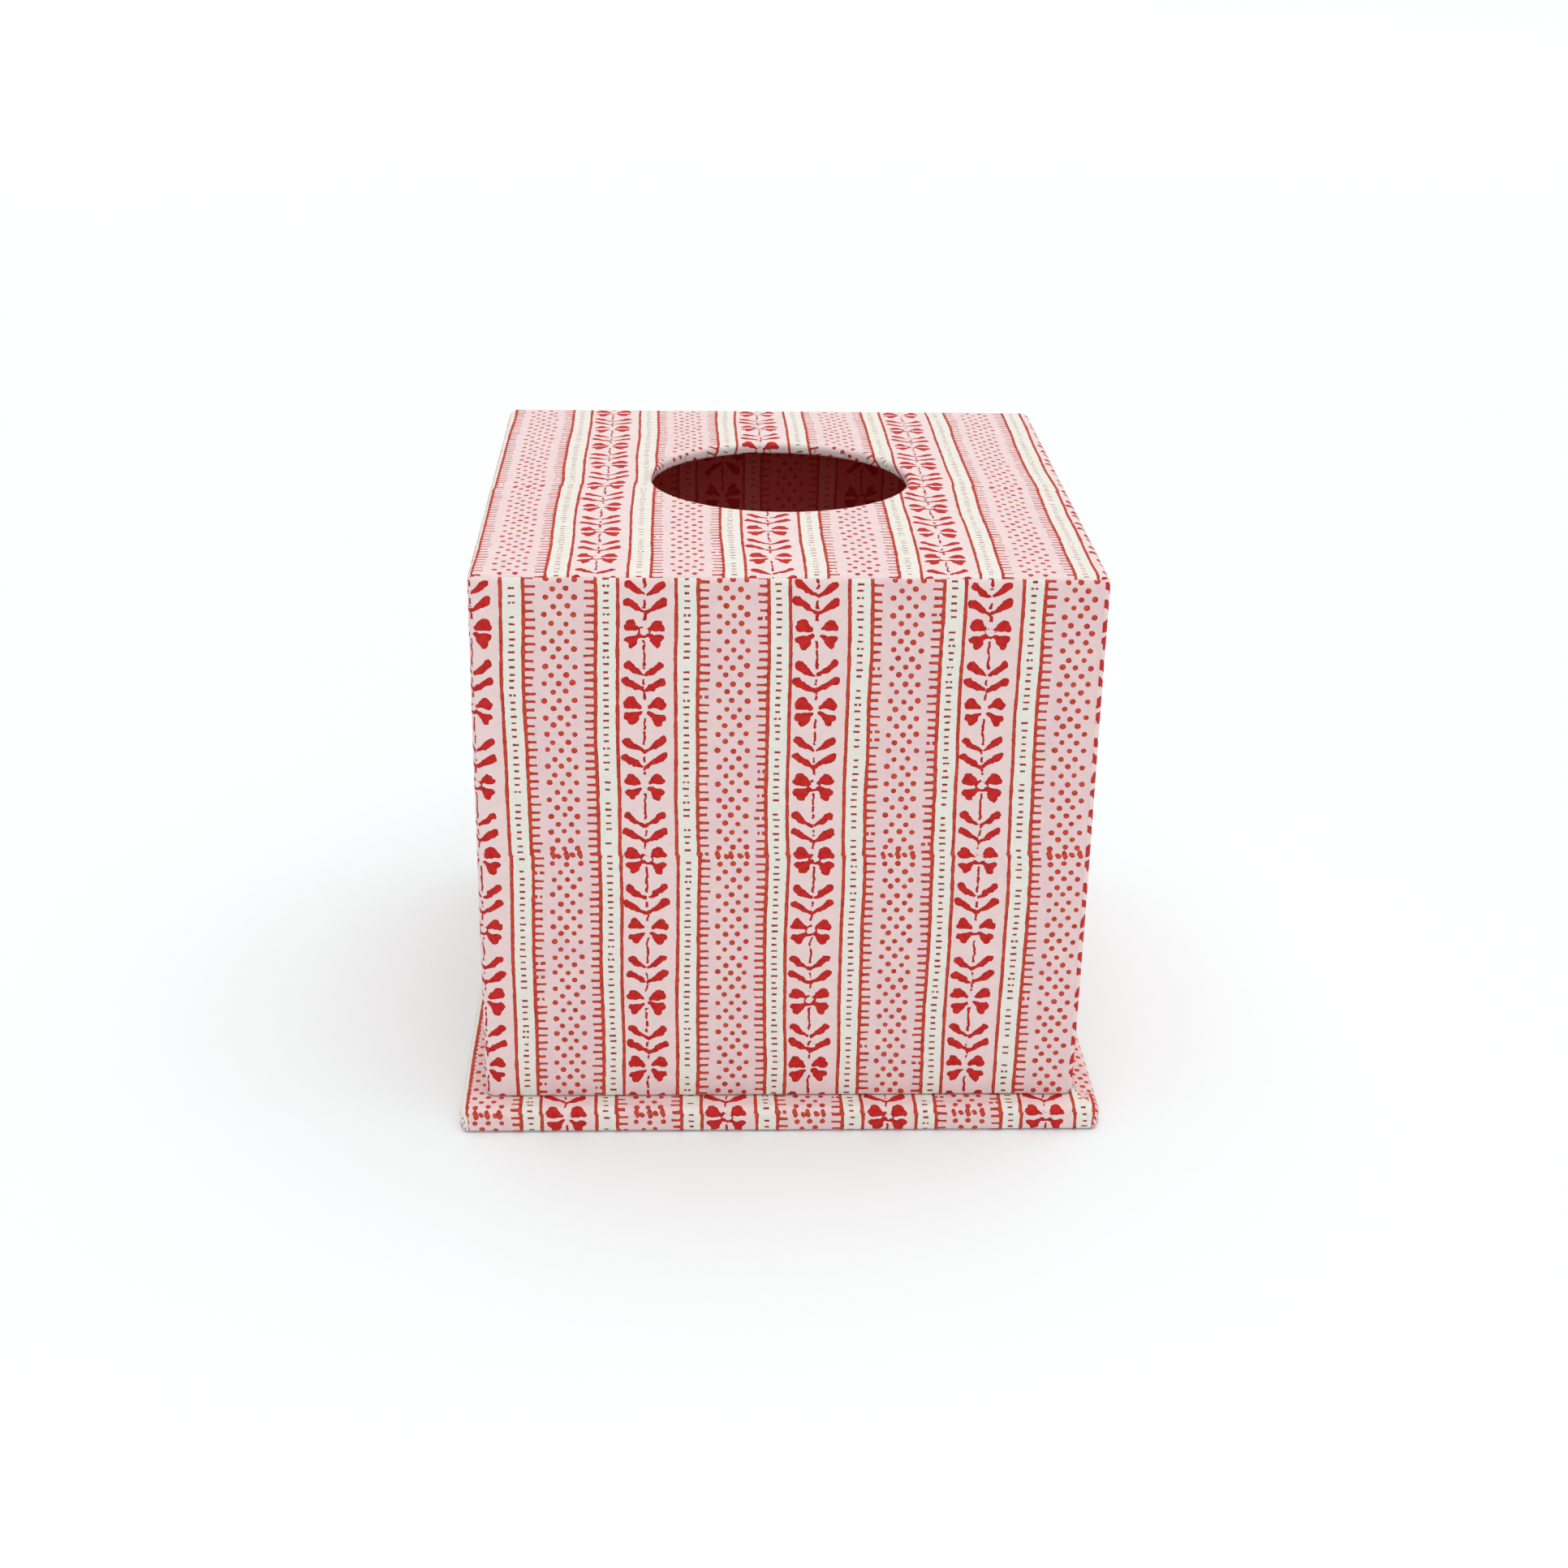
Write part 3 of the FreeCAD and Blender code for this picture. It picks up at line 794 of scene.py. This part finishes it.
def top_column(distance):
    """Points and print coordinates of the top sheet from its tab's end out to its flap's end."""
    shoulder, outward = outline(distance, COVER_SIDE, CORNER, EDGE)
    wall, normal = slot_rim(slot_direction(shoulder))
    points, places = [], []

    def add(place, height, printed):
        points.append(Vector((place.x, place.y, height)))
        places.append(top_print(printed))

    lip_start = wall + normal * LIP
    lip_top = TOP_EDGE + crown_height(*lip_start)
    under = CEILING - SKIN + crown_height(*wall)
    lip_run = LIP * math.pi / 2
    drop = lip_top - LIP - under
    for back in TAB_BENDS:
        place = wall + normal * back * MM
        add(place, CEILING - SKIN + crown_height(*place), lip_start - normal * (lip_run + drop + back * MM))
    for share in TAB_RISE:
        add(wall, under + drop * share, lip_start - normal * (lip_run + drop * (1 - share)))
    for turn in steps(math.pi / 2, 0, math.pi / 16)[1:]:
        place = wall + normal * LIP * (1 - math.sin(turn))
        add(place, lip_top - LIP * (1 - math.cos(turn)), lip_start - normal * LIP * turn)
    for share in steps(0, 1, 1 / 16)[1:]:
        place = lip_start.lerp(shoulder, share)
        sag = ripple(place.x, place.y, 3.0, 30 * MM, 0.12 * MM) * math.sin(math.pi * share)
        add(place, TOP_EDGE + crown_height(*place) + sag, place)
    strip_turn = math.asin((STRIP_TOP - TOP_EDGE + EDGE) / EDGE)
    for turn in steps(math.pi / 2, 0, math.pi / 18)[1:]:
        tucked = max(0, min(1, (strip_turn + 0.06 - turn) / 0.25)) * SKIN
        place, _ = outline(distance, COVER_SIDE, CORNER, EDGE * (1 - math.cos(turn)) + tucked)
        printed = shoulder + outward * EDGE * (math.pi / 2 - turn)
        add(place, TOP_EDGE - EDGE * (1 - math.sin(turn)), printed)
    return points, places


def tab_cuts(columns):
    """Distances round the walls at which the tabs' cuts lie, about evenly spread round the opening."""
    bearings = []
    for distance in columns:
        shoulder, _ = outline(distance, COVER_SIDE, CORNER, EDGE)
        x, y = slot_direction(shoulder)
        bearings.append(math.atan2(y / SLOT_HALF_DEPTH, x / SLOT_HALF_WIDTH) % math.tau)
    cuts = []
    for tab in range(TABS):
        wanted = math.tau * (tab + 0.5 + 0.3 * noise.noise(Vector((tab, 0.5, 0.2)))) / TABS
        for i in range(len(columns) - 1):
            if bearings[i + 1] < wanted <= bearings[i]:
                share = (bearings[i] - wanted) / (bearings[i] - bearings[i + 1])
                cuts.append(columns[i] + share * (columns[i + 1] - columns[i]))
    return sorted(cuts)


def make_top_sheet():
    """The top sheet: a crowned face, edges turned down outside and snipped tabs inside."""
    columns = outline_columns(COVER_SIDE, CORNER, 0, 4 * QUARTER, 3.4 * MM)[:-1]
    cuts = tab_cuts(columns)
    columns = [d for d in columns if all(abs(d - cut) > 2 * TAB_CUT for cut in cuts)]
    columns = sorted(columns + cuts + [cut + TAB_CUT for cut in cuts])
    made = [top_column(distance) for distance in columns]
    rows = len(made[0][0])
    grid = [[points[r] for points, _ in made] for r in range(rows)]
    prints = [[places[r] for _, places in made] + [made[0][1][r]] for r in range(rows)]
    gaps = {(r, columns.index(cut)) for cut in cuts for r in range(TAB_ROWS)}
    piece = build_sheet(
        "top_paper", grid, prints, closed=True, gaps=gaps, cover=top_print_paper, core=paper_core)
    settle(piece, "cover", "printed_paper", "cover_top_sheet")


make_top_sheet()

# ---------------------------------------------------------------- lining of the cover

BACK_VINE = -12.7           # middle of a vine on the back lining, in millimetres
BACK_FLOWER = 111.5         # height of a flower on it: this print is upside down
LINING_GAP = 0.25 * MM      # bare corner between two linings


def line_wall(name, wall, node):
    """A lining sheet on one wall, counted clockwise from the front, with its print facing inwards."""
    half = LINED_HALF - LINING_GAP
    spin = Matrix.Rotation(-wall * math.pi / 2, 2)
    across = steps(half, -half, 4 * MM)
    grid, prints = [], []
    for height in steps(TURN_IN_TOP + 0.1 * MM, CEILING - 0.1 * MM, 4 * MM):
        row, row_prints = [], []
        for x in across:
            wave = ripple(x, wall * 0.3, height, 25 * MM, 0.12 * MM)
            place = spin @ Vector((x, -LINED_HALF + max(0, wave)))
            row.append(Vector((place.x, place.y, height)))
            row_prints.append((
                (wall - 2) * 2 * LINED_HALF / MM + x / MM + BACK_VINE,
                BACK_FLOWER - height / MM,
            ))
        grid.append(row)
        prints.append(row_prints)
    piece = build_sheet(name, grid, prints, cover=lining_print_painted_red_shade, core=lining_core_painted_red_shade)
    settle(piece, "cover", "lining_paper", node)


for wall, side in enumerate(("front", "left", "back", "right")):
    line_wall(f"lining_paper_{side}", wall, f"lining_{side}_sheet")


def line_ceiling():
    """The lining under the top, from the walls to just short of the opening."""
    half = LINED_HALF - LINING_GAP
    columns = outline_columns(2 * half, 1 * MM, 0, 8 * half - 8 * MM + 2 * math.pi * MM, 4 * MM)[:-1]
    height = lining_low[2]
    grid, prints = [], []
    for share in steps(0, 1, 1 / 10):
        row, row_prints = [], []
        for distance in columns:
            outer, _ = outline(distance, 2 * half, 1 * MM, 0)
            wall, normal = slot_rim(slot_direction(outer))
            place = outer.lerp(wall + normal * CEILING_SETBACK, share)
            row.append(Vector((place.x, place.y, height + crown_height(*place))))
            row_prints.append((place.x / MM - BACK_VINE, place.y / MM))
        grid.append(row)
        prints.append([*row_prints, row_prints[0]])
    piece = build_sheet(
        "lining_paper_ceiling", grid, prints, closed=True, cover=lining_print_painted_red_shade, core=lining_core_painted_red_shade)
    settle(piece, "cover", "lining_paper", "lining_ceiling_sheet")


line_ceiling()

# ---------------------------------------------------------------- base and its collar

BASE_SIDE = base_high[0] - base_low[0]
BASE_TOP = base_high[2]
BASE_SHEET_FOOT = base_low[2]
FOOT_ROUND = 1.2 * MM
BASE_TURN_IN = 15 * MM
BASE_VINE = 24.4            # middle of a vine on the base, in millimetres
BASE_FLOWER = -22.25        # unfolded place of a flower; three flowers on is halfway up the front edge
LEFT_LAP = -72.82 * MM      # where a lapped piece of the sheet starts, on the left
LEFT_LAP_HIDES = 2.8        # print that the lap hides
RIGHT_LAP = 69.4 * MM       # a piece lapped over the right side, under the cover's wall
RIGHT_LAP_FRONT = -68.5 * MM
RIGHT_LAP_SHIFT = 9.2       # its print, from the one that it covers
SLIVER = 0.05 * MM          # width across which the print changes at a lap


def wrap_rings(name, side, corner, profile, printed, pitch, cover, core, cap=False, extra=()):
    """A sheet that goes all the way round a rounded square, through (inset, height, run) rings.

    extra holds distances round the square at which it has columns of its own.
    """
    loop = 4 * (side - 2 * corner + corner * math.pi / 2)
    columns = sorted([*outline_columns(side, corner, 0, loop, pitch)[:-1], *extra])
    grid, prints = [], []
    for inset, height, run in profile:
        row, row_prints = [], []
        for distance in columns:
            place, _ = outline(distance, side, corner, inset)
            row.append(Vector((place.x, place.y, height)))
            row_prints.append(printed(distance, place, run))
        grid.append(row)
        prints.append([*row_prints, printed(loop, outline(0, side, corner, inset)[0], run)])
    return build_sheet(name, grid, prints, closed=True, cover=cover, core=core, cap=cap)


def base_profile():
    """Rings of the base's sheet, from the middle of its top out, down and in underneath."""
    profile = []
    half = BASE_SIDE / 2
    laps = (half - RIGHT_LAP + SLIVER, half - RIGHT_LAP, half + LEFT_LAP + SLIVER, half + LEFT_LAP)
    for inset in sorted((72 * MM, 45 * MM, 12 * MM, 8 * MM, 4.4 * MM, 3.3 * MM, *laps), reverse=True):
        profile.append((inset, BASE_TOP, EDGE - inset))
    for turn in steps(math.pi / 2, 0, math.pi / 20):
        profile.append((
            EDGE * (1 - math.cos(turn)),
            BASE_TOP - EDGE * (1 - math.sin(turn)),
            EDGE * (math.pi / 2 - turn),
        ))
    run = profile[-1][2]
    drop = BASE_TOP - EDGE - BASE_SHEET_FOOT - FOOT_ROUND
    profile.append((0, BASE_SHEET_FOOT + FOOT_ROUND + drop / 2, run + drop / 2))
    for turn in steps(0, math.pi / 2, math.pi / 16):
        profile.append((
            FOOT_ROUND * (1 - math.cos(turn)),
            BASE_SHEET_FOOT + FOOT_ROUND * (1 - math.sin(turn)),
            run + drop + FOOT_ROUND * turn,
        ))
    run = profile[-1][2]
    for inset in steps(FOOT_ROUND, BASE_TURN_IN, 5 * MM)[1:]:
        profile.append((inset, BASE_SHEET_FOOT, run + inset - FOOT_ROUND))
    return profile


def base_print(distance, place, run):
    """The unfolded place on the sheet: the flaps carry on from the top face."""
    shoulder, outward = outline(distance, BASE_SIDE, CORNER, EDGE)
    flat = shoulder + outward * run if run > 0 else place
    lapped = place.x > RIGHT_LAP and place.y > RIGHT_LAP_FRONT
    shift = RIGHT_LAP_SHIFT * lapped - LEFT_LAP_HIDES * (flat.x < LEFT_LAP)
    return (flat.x / MM - BASE_VINE + shift, flat.y / MM - BASE_FLOWER)


base_quarter = BASE_SIDE - 2 * CORNER + CORNER * math.pi / 2
lap_column = 3 * base_quarter + BASE_SIDE / 2 - CORNER - RIGHT_LAP_FRONT
base_paper = wrap_rings(
    "base_paper", BASE_SIDE, CORNER, base_profile(), base_print, 4 * MM,
    outer_print, paper_core, cap=True, extra=(lap_column - SLIVER, lap_column + SLIVER))
settle(base_paper, "base", "printed_paper", "base_wrap_sheet")

COLLAR_SIDE = collar_high[0] - collar_low[0]
COLLAR_CORNER = 0.9 * MM
COLLAR_FOLD = 0.35 * MM


def collar_profile():
    """Up the collar's inner face, over its upper edge and down its outer face."""
    foot = collar_low[2] + 0.2 * MM
    crest = collar_high[2]
    profile, run = [], 0
    for height in steps(foot, crest - COLLAR_FOLD, 4 * MM):
        profile.append((WALL, height, height - foot))
    run = profile[-1][2]
    for turn in steps(0, math.pi / 2, math.pi / 8)[1:]:
        profile.append((
            WALL - COLLAR_FOLD * (1 - math.cos(turn)),
            crest - COLLAR_FOLD * (1 - math.sin(turn)),
            run + COLLAR_FOLD * turn,
        ))
    run = profile[-1][2] + WALL - 2 * COLLAR_FOLD
    for turn in steps(0, math.pi / 2, math.pi / 8):
        profile.append((
            COLLAR_FOLD * (1 - math.sin(turn)),
            crest - COLLAR_FOLD * (1 - math.cos(turn)),
            run + COLLAR_FOLD * turn,
        ))
    run = profile[-1][2]
    for height in steps(crest - COLLAR_FOLD, foot, 4 * MM)[1:]:
        profile.append((0, height, run + crest - COLLAR_FOLD - height))
    return profile


def collar_print(distance, place, run):
    """The collar's strip is printed along its length, whatever the place."""
    return (-distance / MM, -run / MM)


collar_paper = wrap_rings(
    "collar_paper", COLLAR_SIDE, COLLAR_CORNER, collar_profile(), collar_print, 4 * MM,
    lining_print_painted_red_shade, lining_core_painted_red_shade)
settle(collar_paper, "base", "lining_paper", "collar_wrap_sheet")


def flat_sheet(name, half, height, facing, phase, cover, core):
    """A pasted square of paper; facing is 1 with its face up and -1 with its face down."""
    places = steps(-half, half, 5 * MM)
    grid, prints = [], []
    for y in places[::-1]:
        row = []
        for x in places[::-facing]:
            wave = ripple(x, y, height, 22 * MM, 0.05 * MM)
            row.append(Vector((x, y, height - abs(wave) * facing)))
        grid.append(row)
        prints.append([(p.x / MM - phase[0], p.y / MM - phase[1]) for p in row])
    return build_sheet(name, grid, prints, cover=cover, core=core)


tray_paper = flat_sheet(
    "tray_floor_paper", tray_high[0] - LINING_GAP, tray_high[2], 1, (6.0, 3.0), lining_print_painted_red_shade, lining_core_painted_red_shade)
settle(tray_paper, "base", "lining_paper", "tray_floor_sheet")
underside = flat_sheet(
    "underside_paper", underside_high[0], underside_low[2], -1, (0, 0), underside_paper, paper_core)
settle(underside, "base", "plain_paper", "base_underside_sheet")

for name, node in frame["nodes"].items():
    if name.endswith("_board"):
        node.data.materials.clear()
        node.data.materials.append(board_material)

# ---------------------------------------------------------------- floor, light and camera

FLOOR_REACH = 2.2           # radius of the flat part
BACKDROP_BEND = 0.8         # radius of the bend up round it
BACKDROP_HEIGHT = 1.0
BACKDROP_SIDES = 96
CAMERA_PLACE = (-0.02236, -0.55127, 0.2979)
CAMERA_LENS = 54.45
CAMERA_PITCH = math.radians(23.645)
CAMERA_YAW = math.radians(2.578)
CAMERA_ROLL = math.radians(-1.093)


def make_floor():
    """A pale round sheet that lies flat and bends up into a low wall all round."""
    profile = [(FLOOR_REACH, 0.0)]
    for turn in steps(0, math.pi / 2, math.pi / 24)[1:]:
        profile.append((
            FLOOR_REACH + BACKDROP_BEND * math.sin(turn),
            BACKDROP_BEND * (1 - math.cos(turn)),
        ))
    profile.append((FLOOR_REACH + BACKDROP_BEND, BACKDROP_HEIGHT))
    vertices = []
    for reach, height in profile:
        for bearing in steps(0, math.tau, math.tau / BACKDROP_SIDES)[:-1]:
            vertices.append((reach * math.cos(bearing), reach * math.sin(bearing), height))
    faces = [list(range(BACKDROP_SIDES))]
    for ring in range(len(profile) - 1):
        start = ring * BACKDROP_SIDES
        for i in range(BACKDROP_SIDES):
            after = (i + 1) % BACKDROP_SIDES
            outer = start + BACKDROP_SIDES
            faces.append([start + i, outer + i, outer + after, start + after])
    mesh = bpy.data.meshes.new("floor")
    mesh.from_pydata(vertices, [], faces)
    mesh.polygons.foreach_set("use_smooth", [True] * len(faces))
    material, _, shader = new_material("pale_floor", 0.6)
    shader.inputs["Base Color"].default_value = srgb(242, 247, 248)
    mesh.materials.append(material)
    floor = bpy.data.objects.new("floor", mesh)
    bpy.context.scene.collection.objects.link(floor)


def add_sun(name, source, strength, spread):
    """A broad, even light from the direction of its source; the spread is its width in degrees."""
    lamp = bpy.data.lights.new(name, "SUN")
    lamp.energy = strength
    lamp.angle = math.radians(spread)
    holder = bpy.data.objects.new(name, lamp)
    holder.rotation_euler = (-Vector(source)).to_track_quat("-Z", "Y").to_euler()
    bpy.context.scene.collection.objects.link(holder)


def light_scene():
    """A pale sky, a broad light from above and a weaker one from the front."""
    world = bpy.data.worlds.new("studio")
    world.use_nodes = True
    background = world.node_tree.nodes["Background"]
    background.inputs["Color"].default_value = (1.0, 0.995, 0.985, 1)
    background.inputs["Strength"].default_value = 0.6
    bpy.context.scene.world = world
    add_sun("overhead", (0.14, 0.02, 1.0), 1.52, 80)
    add_sun("front_fill", (0.1, -1.0, 0.6), 0.22, 50)
    bpy.context.scene.view_settings.view_transform = "Standard"


def place_camera():
    """A camera at the photograph's viewing angle."""
    right = Vector((math.cos(CAMERA_YAW), -math.sin(CAMERA_YAW), 0))
    ahead = Vector((
        math.sin(CAMERA_YAW) * math.cos(CAMERA_PITCH),
        math.cos(CAMERA_YAW) * math.cos(CAMERA_PITCH),
        -math.sin(CAMERA_PITCH),
    ))
    up = right.cross(ahead)
    camera = bpy.data.objects.new("camera", bpy.data.cameras.new("camera"))
    camera.data.lens = CAMERA_LENS
    camera.data.clip_start = 0.01
    axes = Matrix((
        right * math.cos(CAMERA_ROLL) - up * math.sin(CAMERA_ROLL),
        right * math.sin(CAMERA_ROLL) + up * math.cos(CAMERA_ROLL),
        -ahead,
    )).transposed()
    camera.matrix_world = Matrix.Translation(CAMERA_PLACE) @ axes.to_4x4()
    bpy.context.scene.collection.objects.link(camera)
    bpy.context.scene.camera = camera


make_floor()
light_scene()
place_camera()
